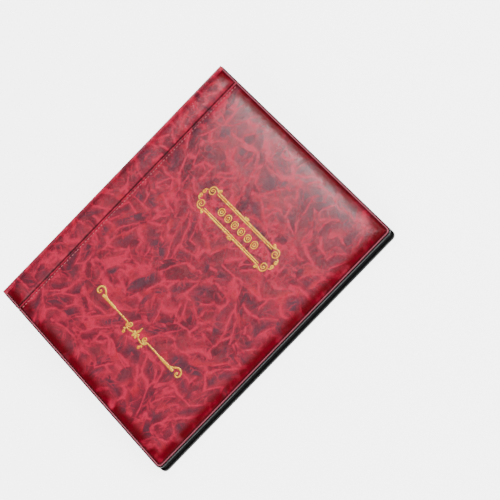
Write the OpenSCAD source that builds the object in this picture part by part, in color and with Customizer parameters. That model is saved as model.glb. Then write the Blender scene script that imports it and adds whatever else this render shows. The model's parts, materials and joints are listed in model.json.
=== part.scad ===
// Coin album: a padded ring binder for coin pages, modelled closed and lying on its back cover.
// Millimetres. X runs from the spine to the fore edge, +Y is the head of the album, +Z is up.

/* [Cover] */

// Width of the closed album, spine to fore edge
cover_w = 230; // [226:1:250]

// Height of the album, tail to head
cover_h = 270; // [262:1:300]

// Thickness of the closed album at the spine
spine_t = 36; // [36:0.5:46]

// Thickness of the closed album at the fore edge
fore_t = 13; // [13:0.5:18]

// Radius of the outer cover corners
corner_r = 5; // [3:0.5:10]

// Width of the narrow padded strip beside the spine
strip_w = 23; // [18:0.5:32]

// Run of the sloping pad edge on the front panel
pad_run = 9; // [4:0.5:16]

/* [Rings] */

// Radius from the ring axis to the middle of the ring wire
ring_r = 9.4; // [9:0.1:9.6]

// Diameter of the ring wire
wire_d = 2.6; // [2:0.1:2.8]

// Spacing between neighbouring rings
ring_pitch = 65; // [50:1:70]

/* [Pages] */

// Height of a coin page
page_h = 248; // [200:1:248]

// Width of a coin page
page_w = 202; // [180:1:204]

// Pockets across one page
pocket_cols = 5; // [2:1:8]

// Pockets down one page
pocket_rows = 6; // [2:1:9]

/* [Ornament] */

// Length of the stamped frame
frame_len = 100; // [90:1:130]

// Height of the stamped frame between its two lines
frame_h = 19; // [18:1:30]

// Length of the stamped bar near the tail
bar_len = 118; // [100:1:130]

// Width of one stamped line
foil_w = 0.9; // [0.6:0.1:1.1]

// Number of small coin rings inside the frame
coin_marks = 6; // [3:1:8]

/* [Hidden] */

$fn = 48;

red = [0.66, 0.10, 0.18];
black = [0.07, 0.07, 0.08];
board_grey = [0.55, 0.52, 0.48];
foam_white = [0.92, 0.90, 0.85];
nickel = [0.78, 0.79, 0.80];
gold = [0.86, 0.66, 0.27];
clear_film = [0.80, 0.85, 0.88];

half_w = cover_w / 2;
half_h = cover_h / 2;

// hinge lines: one at the lower and one at the upper long edge of the spine
hinge_r = 1.5;
hinge_x = -half_w + hinge_r;
hinge_low_z = hinge_r;
hinge_top_z = spine_t - hinge_r;
hinge_gap = 2;
web_end = 0.5;
spine_z0 = hinge_low_z + hinge_gap;
spine_z1 = hinge_top_z - hinge_gap;

// layers of the flat covers
skin_t = 0.6;
lining_t = 0.5;
back_t = 3;

// front cover in its own tilted frame: u runs away from the upper hinge, w points outward
slope = atan((spine_t - fore_t) / (cover_w - hinge_r));
front_len = (cover_w - hinge_r) / cos(slope);
inner_w = -4;
edge_w = -0.5;
board_top_w = -1.7;
pad_rise = 1.8;
strip_rise = 1.2;
seam_u = strip_w - hinge_r;
seam_w = -0.8;
strip_end_u = seam_u - 0.8;
panel_start_u = seam_u + 0.8;

// ring mechanism
rail_back_x = -half_w + 2.9;
rail_face_x = rail_back_x + 4.4;
rail_wall = 0.7;
rail_len = 245;
rail_half_z = 7;
ring_x = rail_face_x + 10;
ring_z = back_t + 13.2;
ring_ys = [for (i = [0 : 3]) (i - 1.5) * ring_pitch];
rivet_ys = [-ring_pitch, 0, ring_pitch];
blade_x = rail_back_x + 1.9;
blade_t = 0.8;
blade_edge = 5.6;
blade_len = 246.4;
lever_x = rail_back_x + 2.1;
lever_y = 125.4;
lever_half_z = 5.2;
lug_y = lever_y + 2;
pin_r = 0.7;

// page stack: planes at even offsets round the ring axis, closing up towards the fore edge
sheet_t = 0.25;
film_t = 0.2;
weld_t = 0.08;
page_total = 8;
page_offset = 6.4;
page_far = page_w + 1;
far_first = back_t + 0.35;
far_step = 0.6;
slot_w = 5;
slot_in = 3.2;
slot_out = 5.4;
page_margin = 6.6;

film_x0 = 9;
film_x1 = page_w - page_margin - 2;
film_hy = page_h / 2 - 2;
weld_w = 1.4;

// stamped ornament, a thin layer on top of the front panel
foil_base = edge_w + pad_rise;
foil_t = 0.15;
frame_u = 0.553 * cover_w - hinge_r;
frame_y = half_h - 0.324 * cover_h;
frame_end = frame_len / 2 - 9;
ornament_y = half_h - 0.768 * cover_h;
bar_end = bar_len / 2 - 5;
mark_pitch = 9;

function page_h_off(i) = -page_offset + (i - 1) * 2 * page_offset / (page_total - 1);
function page_wire(i) = sqrt(ring_r * ring_r - page_h_off(i) * page_h_off(i));
function page_tilt(i) = asin((ring_z + page_h_off(i) - far_first - (i - 1) * far_step) / page_far);

// ---- shared shapes ----

// flat plate with rounded corners on its +X side
module cover_plate(x0, x1, hy, z0, z1, r) {
    translate([0, 0, z0])
        linear_extrude(z1 - z0)
            union() {
                translate([x0, -hy]) square([x1 - x0 - r, 2 * hy]);
                translate([x0, -hy + r]) square([x1 - x0, 2 * hy - 2 * r]);
                for (s = [-1, 1])
                    translate([x1 - r, s * (hy - r)]) circle(r);
            }
}

// plate with sloping pad edges: a trapezoid along X crossed with a trapezoid along Y
module pad_block(x0, x1, hy, w0, w_edge, w_top, run) {
    intersection() {
        translate([0, hy + 1, 0])
            rotate([90, 0, 0])
                linear_extrude(2 * hy + 2)
                    polygon([
                        [x0, w0], [x1, w0], [x1, w_edge],
                        [x1 - run, w_top], [x0 + run, w_top], [x0, w_edge]
                    ]);
        translate([x0 - 1, 0, 0])
            rotate([90, 0, 90])
                linear_extrude(x1 - x0 + 2)
                    polygon([
                        [-hy, w0], [hy, w0], [hy, w_edge],
                        [hy - run, w_top], [-hy + run, w_top], [-hy, w_edge]
                    ]);
    }
}

// puts a shape drawn in the tilted front cover frame in its place on the album
module on_front() {
    translate([hinge_x, 0, hinge_top_z])
        rotate([0, slope, 0])
            children();
}

// quarter-round strip of cover material round one of the spine hinges
module hinge_web(z, a0) {
    translate([hinge_x, half_h - web_end, z])
        rotate([90, 0, 0])
            linear_extrude(cover_h - 2 * web_end)
                intersection() {
                    difference() {
                        circle(hinge_r);
                        circle(hinge_r - skin_t);
                    }
                    rotate(a0) square(hinge_r + 1);
                }
}

// ---- back cover ----

module back_skin() {
    color(black)
        difference() {
            cover_plate(hinge_x + hinge_gap, half_w, half_h, 0, back_t - lining_t, corner_r);
            cover_plate(hinge_x + hinge_gap + skin_t, half_w - skin_t, half_h - skin_t,
                skin_t, back_t, corner_r - skin_t);
        }
}

module back_board() {
    color(board_grey)
        cover_plate(hinge_x + hinge_gap + skin_t, half_w - skin_t, half_h - skin_t,
            skin_t, back_t - lining_t, corner_r - skin_t);
}

module back_lining() {
    color(black)
        cover_plate(hinge_x + hinge_gap + 1.5, half_w - 2, half_h - 2,
            back_t - lining_t, back_t, corner_r - 2);
}

// ---- spine ----

module spine_skin() {
    color(black)
        difference() {
            translate([-half_w, -half_h, spine_z0])
                cube([rail_back_x - lining_t + half_w, cover_h, spine_z1 - spine_z0]);
            translate([-half_w + skin_t, -half_h + skin_t, spine_z0 + skin_t])
                cube([4, cover_h - 2 * skin_t, spine_z1 - spine_z0 - 2 * skin_t]);
        }
}

// holes that the rail rivets pass through
module rivet_holes(r) {
    for (y = rivet_ys)
        translate([-half_w + skin_t, y, ring_z])
            rotate([0, 90, 0])
                cylinder(r = r, h = 20);
}

module spine_board() {
    color(board_grey)
        difference() {
            translate([-half_w + skin_t, -half_h + skin_t, spine_z0 + skin_t])
                cube([rail_back_x - lining_t + half_w - skin_t, cover_h - 2 * skin_t,
                    spine_z1 - spine_z0 - 2 * skin_t]);
            rivet_holes(1);
        }
}

module spine_lining() {
    color(black)
        difference() {
            translate([rail_back_x - lining_t, -half_h + 2, spine_z0 + 1.5])
                cube([lining_t, cover_h - 4, spine_z1 - spine_z0 - 3]);
            rivet_holes(1);
        }
}

module spine_bottom_web() {
    color(black) hinge_web(hinge_low_z, 180);
}

module spine_top_web() {
    color(red) hinge_web(hinge_top_z, 90);
}

// ---- ring mechanism ----

module ring_rail() {
    color(nickel)
        difference() {
            union() {
                translate([rail_back_x, -rail_len / 2, ring_z - rail_half_z])
                    cube([rail_face_x - rail_back_x, rail_len, 2 * rail_half_z]);
                for (t = [-1, 1])
                    translate([rail_back_x, -lug_y, ring_z + t * (rail_half_z - 0.4) - 0.4])
                        cube([rail_face_x - rail_back_x, 2 * lug_y, 0.8]);
            }
            translate([rail_back_x - 1, -rail_len, ring_z - rail_half_z + 0.8])
                cube([rail_face_x - rail_back_x + 1 - rail_wall, 2 * rail_len, 2 * rail_half_z - 1.6]);
            for (y = ring_ys)
                translate([rail_back_x, y - 2.6, ring_z - 4.8])
                    cube([8, 5.2, 9.6]);
            rivet_holes(1);
            for (s = [-1, 1])
                translate([lever_x, s * lever_y, ring_z - 10])
                    cylinder(r = pin_r, h = 20);
        }
}

module rail_rivets() {
    color(nickel)
        for (y = rivet_ys)
            translate([-half_w + skin_t, y, ring_z])
                rotate([0, 90, 0]) {
                    cylinder(r = 1, h = rail_face_x + half_w - skin_t);
                    translate([0, 0, rail_face_x + half_w - skin_t])
                        cylinder(r1 = 2.3, r2 = 1.6, h = 0.6);
                }
}

// one of the two thin plates that carry the half rings, s is +1 for the upper one
module blade(s) {
    color(nickel)
        difference() {
            translate([blade_x, -blade_len / 2, s > 0 ? ring_z + 0.15 : ring_z - blade_edge])
                cube([blade_t, blade_len, blade_edge - 0.15]);
            for (y = rivet_ys)
                translate([blade_x - 1, y, ring_z])
                    rotate([0, 90, 0])
                        cylinder(r = 2, h = 3);
        }
}

module blade_upper() { blade(1); }

module blade_lower() { blade(-1); }

// four half rings with riveted feet, s is +1 for the upper set
module half_rings(s) {
    color(nickel)
        for (y = ring_ys)
            translate([ring_x, y, ring_z])
                mirror([0, 0, s > 0 ? 0 : 1]) {
                    rotate([90, 0, 0])
                        rotate([0, 0, 0.9])
                            rotate_extrude(angle = 164)
                                translate([ring_r, 0])
                                    circle(wire_d / 2);
                    translate([blade_x + blade_t - ring_x, 0, 2.3])
                        rotate([0, 90, 0])
                            cylinder(r = wire_d / 2 + 0.2, h = 2.8);
                }
}

module half_rings_upper() { half_rings(1); }

module half_rings_lower() { half_rings(-1); }

// trigger lever at one end of the rail, s is +1 at the head
module lever(s) {
    color(nickel)
        translate([lever_x, s * lever_y, ring_z])
            mirror([0, s > 0 ? 0 : 1, 0])
                difference() {
                    union() {
                        translate([0, 0, -lever_half_z])
                            cylinder(r = 1.7, h = 2 * lever_half_z);
                        translate([0, 0, -lever_half_z])
                            linear_extrude(2 * lever_half_z)
                                polygon([[0, -0.6], [6.6, -0.3], [9.6, 2.6], [8.8, 3.5], [6.1, 0.9], [0, 1.0]]);
                        translate([0, 0, -1.2])
                            linear_extrude(2.4)
                                polygon([[-1.6, -2.9], [-1.1, -2.9], [-0.9, 0], [-1.6, 0]]);
                    }
                    translate([0, 0, -10])
                        cylinder(r = pin_r + 0.3, h = 20);
                }
}

module lever_head() { lever(1); }

module lever_tail() { lever(-1); }

module lever_pins() {
    color(nickel)
        for (s = [-1, 1])
            translate([lever_x, s * lever_y, ring_z - rail_half_z])
                cylinder(r = pin_r, h = 2 * rail_half_z);
}

// ---- narrow strip beside the spine ----

module strip_skin() {
    color(red)
        on_front()
            difference() {
                pad_block(hinge_gap, strip_end_u, half_h, inner_w + lining_t, edge_w,
                    edge_w + strip_rise, 4);
                pad_block(hinge_gap + skin_t, strip_end_u - skin_t, half_h - skin_t, inner_w - 2,
                    edge_w - skin_t, edge_w + strip_rise - skin_t, 4);
            }
}

module strip_foam() {
    color(foam_white)
        on_front()
            intersection() {
                pad_block(hinge_gap + skin_t, strip_end_u - skin_t, half_h - skin_t, inner_w,
                    edge_w - skin_t, edge_w + strip_rise - skin_t, 4);
                translate([0, -half_h, board_top_w])
                    cube([strip_w, cover_h, 10]);
            }
}

module strip_board() {
    color(board_grey)
        on_front()
            translate([hinge_gap + skin_t, -half_h + skin_t, inner_w + lining_t])
                cube([strip_end_u - hinge_gap - 2 * skin_t, cover_h - 2 * skin_t,
                    board_top_w - inner_w - lining_t]);
}

module strip_lining() {
    color(black)
        on_front()
            translate([hinge_gap + 1, -half_h + 2, inner_w])
                cube([strip_end_u - hinge_gap - 2, cover_h - 4, lining_t]);
}

module front_seam() {
    color(red)
        on_front()
            translate([strip_end_u, -half_h + web_end, seam_w - 0.9])
                cube([0.9, cover_h - 2 * web_end, 0.7]);
}

// ---- front panel ----

module panel_corners(r, inset) {
    cover_plate(panel_start_u - 1, front_len - inset, half_h - inset, -20, 20, r);
}

module front_skin() {
    color(red)
        on_front()
            difference() {
                intersection() {
                    pad_block(panel_start_u, front_len, half_h, inner_w + lining_t, edge_w,
                        edge_w + pad_rise, pad_run);
                    panel_corners(corner_r, 0);
                }
                intersection() {
                    pad_block(panel_start_u + skin_t, front_len - skin_t, half_h - skin_t,
                        inner_w - 2, edge_w - skin_t, edge_w + pad_rise - skin_t, pad_run);
                    panel_corners(corner_r - skin_t, skin_t);
                }
            }
}

module front_foam() {
    color(foam_white)
        on_front()
            intersection() {
                pad_block(panel_start_u + skin_t, front_len - skin_t, half_h - skin_t,
                    inner_w, edge_w - skin_t, edge_w + pad_rise - skin_t, pad_run);
                panel_corners(corner_r - skin_t, skin_t);
                translate([0, -half_h, board_top_w])
                    cube([front_len, cover_h, 10]);
            }
}

module front_board() {
    color(board_grey)
        on_front()
            cover_plate(panel_start_u + skin_t, front_len - skin_t, half_h - skin_t,
                inner_w + lining_t, board_top_w, corner_r - skin_t);
}

module front_lining() {
    color(black)
        on_front()
            cover_plate(panel_start_u + 1, front_len - 2, half_h - 2,
                inner_w, inner_w + lining_t, corner_r - 2);
}

// ---- stamped ornament, all of it 0.15 mm proud of the front panel ----

// arc of a stamped line, angles measured from +X towards +Y
module foil_arc(r, a0, a1, w) {
    rotate([0, 0, a0])
        rotate_extrude(angle = a1 - a0)
            translate([r - w / 2, 0])
                square([w, foil_t]);
}

module foil_bar(x0, x1, y, w) {
    translate([x0, y - w / 2, 0])
        cube([x1 - x0, w, foil_t]);
}

// a curl that starts on the line y = 0 at x = 0 and winds inwards above it, with a bead inside
module foil_curl(r) {
    translate([0, r, 0]) {
        foil_arc(r, -90, 90, foil_w);
        translate([0, r * 0.25, 0])
            foil_arc(r * 0.75, 90, 270, foil_w);
        foil_arc(r * 0.5, -90, 40, foil_w);
    }
}

// two small leaves with a bead between them
module foil_bud(r) {
    for (e = [0, 1])
        mirror([e, 0, 0])
            translate([r + foil_w, 0, 0])
                foil_arc(r, 90, 180, foil_w);
    translate([0, r * 1.2, 0])
        cylinder(r = foil_w * 0.75, h = foil_t);
}

// five round petals about a bead
module foil_flower(r) {
    cylinder(r = r * 0.34, h = foil_t);
    for (a = [18 : 72 : 306])
        rotate([0, 0, a])
            translate([r, 0, 0])
                cylinder(r = r * 0.4, h = foil_t);
}

module on_foil(y) {
    on_front()
        translate([frame_u, y, foil_base])
            children();
}

module gold_frame() {
    color(gold)
        on_foil(frame_y) {
            for (s = [0, 1])
                mirror([0, s, 0]) {
                    foil_bar(-frame_end, frame_end, frame_h / 2, foil_w);
                    foil_bar(-frame_end + 9, frame_end - 9, frame_h / 2 - 1.9, foil_w * 0.6);
                    translate([0, frame_h / 2 + 1.2, 0]) foil_bud(1.7);
                    for (e = [0, 1])
                        mirror([e, 0, 0])
                            translate([frame_end, frame_h / 2, 0])
                                mirror([0, 1, 0]) foil_curl(2.9);
                }
            for (e = [0, 1])
                mirror([e, 0, 0]) {
                    translate([frame_end + 1.2, 0, 0])
                        foil_arc(5.4, -52, 52, foil_w);
                    translate([frame_end + 1.6, 0, 0])
                        foil_flower(1.9);
                    translate([frame_end + 7.8, 0, 0])
                        rotate([0, 0, -90]) foil_bud(1.5);
                }
        }
}

module gold_ornament() {
    color(gold)
        on_foil(ornament_y) {
            foil_flower(2.4);
            for (e = [0, 1])
                mirror([e, 0, 0]) {
                    foil_bar(9, bar_end, 0, foil_w);
                    translate([bar_end, 0, 0]) foil_curl(3.2);
                    translate([9, 0, 0]) mirror([1, 0, 0]) foil_curl(2.6);
                    translate([21, -1.2, 0]) mirror([0, 1, 0]) foil_bud(1.7);
                    translate([38, 1.2, 0]) foil_bud(1.4);
                }
        }
}

module gold_coin_row() {
    color(gold)
        on_foil(frame_y)
            for (i = [0 : coin_marks - 1])
                translate([(i - (coin_marks - 1) / 2) * mark_pitch, 0, 0]) {
                    difference() {
                        cylinder(r = 3.3, h = foil_t);
                        translate([0, 0, -1]) cylinder(r = 2.6, h = 3);
                    }
                    difference() {
                        cylinder(r = 1.9, h = foil_t);
                        translate([0, 0, -1]) cylinder(r = 0.7, h = 3);
                    }
                }
}

// ---- pages ----

// puts a shape drawn in page coordinates on the rings, x from the ring axis, z from the page plane
module on_page(i) {
    translate([ring_x, 0, ring_z])
        rotate([0, page_tilt(i), 0])
            translate([page_wire(i), 0, page_h_off(i)])
                children();
}

module page_sheet(i) {
    color(black)
        on_page(i)
            difference() {
                cover_plate(-page_margin, page_w - page_margin, page_h / 2,
                    -sheet_t / 2, sheet_t / 2, 4);
                for (y = ring_ys)
                    translate([0, y, -1])
                        linear_extrude(2)
                            union() {
                                translate([-slot_in + 1, -slot_w / 2])
                                    square([slot_out + slot_in - 2, slot_w]);
                                translate([-slot_in, -slot_w / 2 + 1])
                                    square([slot_out + slot_in, slot_w - 2]);
                                for (a = [-slot_in + 1, slot_out - 1], b = [-1, 1])
                                    translate([a, b * (slot_w / 2 - 1)])
                                        circle(1);
                            }
            }
}

module page_pockets(i) {
    color(clear_film)
        on_page(i)
            difference() {
                translate([film_x0, -film_hy, sheet_t / 2])
                    cube([film_x1 - film_x0, 2 * film_hy, film_t]);
                for (c = [1 : pocket_cols - 1])
                    translate([film_x0 + c * (film_x1 - film_x0) / pocket_cols - weld_w / 2, -film_hy - 1,
                        sheet_t / 2 + weld_t])
                        cube([weld_w, 2 * film_hy + 2, 1]);
                for (r = [1 : pocket_rows - 1])
                    translate([film_x0 - 1, -film_hy + r * 2 * film_hy / pocket_rows - weld_w / 2,
                        sheet_t / 2 + weld_t])
                        cube([film_x1 - film_x0 + 2, weld_w, 1]);
            }
}

module page_1_sheet() { page_sheet(1); }
module page_2_sheet() { page_sheet(2); }
module page_3_sheet() { page_sheet(3); }
module page_4_sheet() { page_sheet(4); }
module page_5_sheet() { page_sheet(5); }
module page_6_sheet() { page_sheet(6); }
module page_7_sheet() { page_sheet(7); }
module page_8_sheet() { page_sheet(8); }

module page_1_pockets() { page_pockets(1); }
module page_2_pockets() { page_pockets(2); }
module page_3_pockets() { page_pockets(3); }
module page_4_pockets() { page_pockets(4); }
module page_5_pockets() { page_pockets(5); }
module page_6_pockets() { page_pockets(6); }
module page_7_pockets() { page_pockets(7); }
module page_8_pockets() { page_pockets(8); }

back_skin();
back_board();
back_lining();
spine_skin();
spine_board();
spine_lining();
spine_bottom_web();
spine_top_web();
ring_rail();
rail_rivets();
blade_upper();
blade_lower();
half_rings_upper();
half_rings_lower();
lever_head();
lever_tail();
lever_pins();
strip_skin();
strip_foam();
strip_board();
strip_lining();
front_seam();
front_skin();
front_foam();
front_board();
front_lining();
gold_frame();
gold_ornament();
gold_coin_row();
page_1_sheet();
page_2_sheet();
page_3_sheet();
page_4_sheet();
page_5_sheet();
page_6_sheet();
page_7_sheet();
page_8_sheet();
page_1_pockets();
page_2_pockets();
page_3_pockets();
page_4_pockets();
page_5_pockets();
page_6_pockets();
page_7_pockets();
page_8_pockets();
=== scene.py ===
"""Coin album: the looks of a padded red ring binder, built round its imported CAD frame."""

import json
import math

import bmesh
import bpy
import numpy as np
from mathutils import Matrix, Vector, noise


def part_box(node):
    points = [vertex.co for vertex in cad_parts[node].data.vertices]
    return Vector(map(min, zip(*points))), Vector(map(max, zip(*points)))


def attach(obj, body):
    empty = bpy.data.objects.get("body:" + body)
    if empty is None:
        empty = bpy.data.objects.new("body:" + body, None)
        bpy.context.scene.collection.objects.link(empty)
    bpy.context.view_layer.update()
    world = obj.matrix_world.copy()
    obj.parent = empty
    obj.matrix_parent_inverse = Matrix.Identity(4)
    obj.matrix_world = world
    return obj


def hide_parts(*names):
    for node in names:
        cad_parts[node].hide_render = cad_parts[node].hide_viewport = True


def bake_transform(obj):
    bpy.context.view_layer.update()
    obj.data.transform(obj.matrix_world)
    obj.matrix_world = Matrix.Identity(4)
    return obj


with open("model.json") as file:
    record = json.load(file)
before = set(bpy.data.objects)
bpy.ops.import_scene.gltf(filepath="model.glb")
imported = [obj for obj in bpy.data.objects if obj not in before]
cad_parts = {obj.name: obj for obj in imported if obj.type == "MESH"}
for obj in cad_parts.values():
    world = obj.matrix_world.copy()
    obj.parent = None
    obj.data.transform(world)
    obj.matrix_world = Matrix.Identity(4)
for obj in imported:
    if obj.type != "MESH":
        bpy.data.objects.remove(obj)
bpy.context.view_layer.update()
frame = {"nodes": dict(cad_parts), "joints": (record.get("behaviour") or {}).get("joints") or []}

MM = 0.001
Y = np.array((0.0, 1.0, 0.0))
JOINT_AT = {j["name"]: np.array(j["pos_m"]) for j in frame["joints"]}
TAU = 2 * math.pi


# ---- planes and places, read from the frame ----


def cloud(node):
    """The points of a CAD node at rest."""
    return np.array([v.co for v in frame["nodes"][node].data.vertices], float)


class Plane:
    """The flat directions of a thin CAD plate: a along it, y, and h outwards, from an origin."""

    def __init__(self, node, outward, origin):
        points = cloud(node)
        normal = np.linalg.svd(points - points.mean(0), full_matrices=False)[2][2]
        self.n = normal if normal @ np.array(outward) > 0 else -normal
        self.a = np.cross(Y, self.n)
        self.origin = np.array(origin, float)

    def place(self, a, b, h):
        a, b, h = np.broadcast_arrays(a, b, h)
        return self.origin + np.outer(a, self.a) + np.outer(b, Y) + np.outer(h, self.n)

    def span(self, node):
        """(a0, a1, y0, y1) and (h0, h1) of a CAD node on this plane."""
        p = cloud(node) - self.origin
        a, h = p @ self.a, p @ self.n
        return (a.min(), a.max(), p[:, 1].min(), p[:, 1].max()), (h.min(), h.max())


front = Plane("front_lining", (0, 0, 1), JOINT_AT["strip_hinge"])
back = Plane("back_lining", (0, 0, -1), (0, 0, 0))
spine_lo, spine_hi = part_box("spine_skin")
spine = Plane("spine_lining", (-1, 0, 0), (spine_lo.x, 0, 0))


# ---- meshes ----


def smooth(t):
    """0 to 1 with a soft start and end."""
    t = np.clip(t, 0, 1)
    return t * t * (3 - 2 * t)


def piece(name, verts, faces, material, uv=None, edge=None, cut=None, sharp=40):
    """A mesh object with outward faces and, where given, a flat cover map in metres and each point's
    distances from the edge and from the welded cut."""
    mesh = bpy.data.meshes.new(name)
    mesh.from_pydata([tuple(v) for v in verts], [], [tuple(int(i) for i in f) for f in faces])
    bm = bmesh.new()
    bm.from_mesh(mesh)
    bmesh.ops.recalc_face_normals(bm, faces=bm.faces)
    bm.to_mesh(mesh)
    bm.free()
    mesh.polygons.foreach_set("use_smooth", [True] * len(mesh.polygons))
    mesh.set_sharp_from_angle(angle=math.radians(sharp))
    if uv is not None:
        layer = mesh.uv_layers.new(name="cover")
        at = np.zeros(len(mesh.loops), int)
        mesh.loops.foreach_get("vertex_index", at)
        layer.data.foreach_set("uv", np.asarray(uv, np.float32)[at].ravel())
    for label, values in (("edge", edge), ("cut", cut)):
        if values is not None:
            data = mesh.attributes.new(label, "FLOAT", "POINT").data
            data.foreach_set("value", np.asarray(values, np.float32))
    obj = bpy.data.objects.new(name, mesh)
    bpy.context.scene.collection.objects.link(obj)
    mesh.materials.append(material)
    return obj


def ticks(lo, hi, step):
    """Grid lines from lo to hi, close together near both ends and step apart between."""
    near, t, gap = [0.0], 0.0, 0.25 * MM
    while gap < step and t + gap < (hi - lo) / 2 - gap / 2:
        t += gap
        near.append(t)
        gap *= 1.2
    inner = hi - lo - 2 * t
    count = max(1, round(inner / step))
    mid = [lo + t + inner * k / count for k in range(1, count)]
    return np.array([lo + t for t in near] + mid + [hi - t for t in reversed(near)])


def bend_corners(a, b, box, radii):
    """Turns a grid's square corners into arcs. radii are for the corners at low a and at high a."""
    a0, a1, b0, b1 = box
    for at, out, r in ((a0, -1, radii[0]), (a1, 1, radii[1])):
        for bt, side in ((b0, -1), (b1, 1)):
            ca, cb = at - out * r, bt - side * r
            p, q = (a - ca) * out, (b - cb) * side
            inside = (p > 0) & (q > 0)
            k = np.where(inside, np.maximum(p, q) / np.maximum(np.hypot(p, q), 1e-12), 1)
            a = np.where(inside, ca + out * p * k, a)
            b = np.where(inside, cb + side * q * k, b)
    return a, b


def inset_box(box, t):
    """A box (a0, a1, b0, b1) drawn in by t on all sides."""
    return (box[0] + t, box[1] - t, box[2] + t, box[3] - t)


def edge_distance(a, b, box):
    """How far points lie inside the nearest side of a box."""
    return np.minimum(np.minimum(a - box[0], box[1] - a), np.minimum(b - box[2], box[3] - b))


def rim_loop(ta, tb, box, radii, t):
    """The closed outline of box, drawn in by t, one point for each grid line that meets it."""
    a0, a1, b0, b1 = box
    fa, fb = (ta - a0) / (a1 - a0), (tb - b0) / (b1 - b0)
    small = inset_box(box, t)
    ga, gb = small[0] + fa * (small[1] - small[0]), small[2] + fb * (small[3] - small[2])
    a = np.concatenate([ga, np.full(len(gb) - 2, ga[-1]), ga[::-1], np.full(len(gb) - 2, ga[0])])
    b = np.concatenate([np.full(len(ga), gb[0]), gb[1:-1], np.full(len(ga), gb[-1]), gb[-2:0:-1]])
    return bend_corners(a, b, small, [max(r - t, 0.15 * MM) for r in radii])


def loop(k, n):
    """The point numbers of loop k, where each loop has n points."""
    return range(k * n, (k + 1) * n)


def bridge(first, second):
    """Quads between two closed loops of point numbers."""
    n = len(first)
    return [(first[i], first[(i + 1) % n], second[(i + 1) % n], second[i]) for i in range(n)]


def tube(count, n):
    """The faces of count loops of n points joined in a row, with a cap at each end."""
    faces = []
    for k in range(count - 1):
        faces += bridge(loop(k, n), loop(k + 1, n))
    return faces + [tuple(loop(0, n)), tuple(loop(count - 1, n))]


def grid_faces(na, nb):
    """The quads of a grid of na by nb points, and its outline as point numbers."""
    quads = [
        (i * nb + j, (i + 1) * nb + j, (i + 1) * nb + j + 1, i * nb + j + 1)
        for i in range(na - 1)
        for j in range(nb - 1)
    ]
    rim = (
        [i * nb for i in range(na)]
        + [(na - 1) * nb + j for j in range(1, nb - 1)]
        + [i * nb + nb - 1 for i in reversed(range(na))]
        + list(range(nb - 2, 0, -1))
    )
    return quads, rim


def slab(name, plane, box, radii, step, height, loops, material, cut_box=None, open_low=0.0):
    """A closed plate on a plane: a rounded grid face at height(a, b, d), loops of (inset, h) round
    its side and underneath, and a flat fill inside the last loop. cut_box bounds its welded edges,
    and the edge at low a counts as open_low further away."""
    cut_box = cut_box or box
    edge_box = (box[0] - open_low,) + tuple(box[1:])
    ta, tb = ticks(box[0], box[1], step), ticks(box[2], box[3], step)
    ga, gb = [g.ravel() for g in np.meshgrid(ta, tb, indexing="ij")]
    d = edge_distance(ga, gb, box)
    a, b = bend_corners(ga, gb, box, radii)
    verts, uvs = [plane.place(a, b, height(a, b, d))], [np.column_stack([a, b])]
    edges = [edge_distance(ga, gb, edge_box)]
    cuts = [np.minimum(edge_distance(ga, gb, cut_box), 1)]
    faces, last = grid_faces(len(ta), len(tb))
    total = len(a)
    for t, h in loops:
        la, lb = rim_loop(ta, tb, box, radii, t)
        verts.append(plane.place(la, lb, h))
        uvs.append(np.column_stack([la, lb]))
        edges.append(np.clip(edge_distance(la, lb, edge_box) - t, 0, 1))
        cuts.append(np.clip(edge_distance(la, lb, cut_box) - t, 0, 1))
        ring = range(total, total + len(last))
        faces += bridge(last, ring)
        last, total = ring, total + len(ring)
    faces.append(tuple(last))
    return piece(
        name, np.vstack(verts), faces, material, np.vstack(uvs), np.concatenate(edges),
        np.concatenate(cuts),
    )


def binding(name, plane, box, radii, step, loops, material):
    """A closed band round a plate's edge, whose cross-section is loops of (inset, h)."""
    ta, tb = ticks(box[0], box[1], step), ticks(box[2], box[3], step)
    verts, uvs, faces = [], [], []
    for t, h in loops:
        la, lb = rim_loop(ta, tb, box, radii, t)
        verts.append(plane.place(la, lb, h))
        uvs.append(np.column_stack([la, lb + h]))
    count = len(uvs[0])
    for k in range(len(loops)):
        faces += bridge(loop(k, count), loop((k + 1) % len(loops), count))
    return piece(name, np.vstack(verts), faces, material, np.vstack(uvs))


def swell(a, b, scale, seed):
    """Soft lumps between -1 and 1 about scale metres apart."""
    return np.array([noise.noise(Vector((x / scale, y / scale, seed))) for x, y in zip(a, b)])


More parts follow.
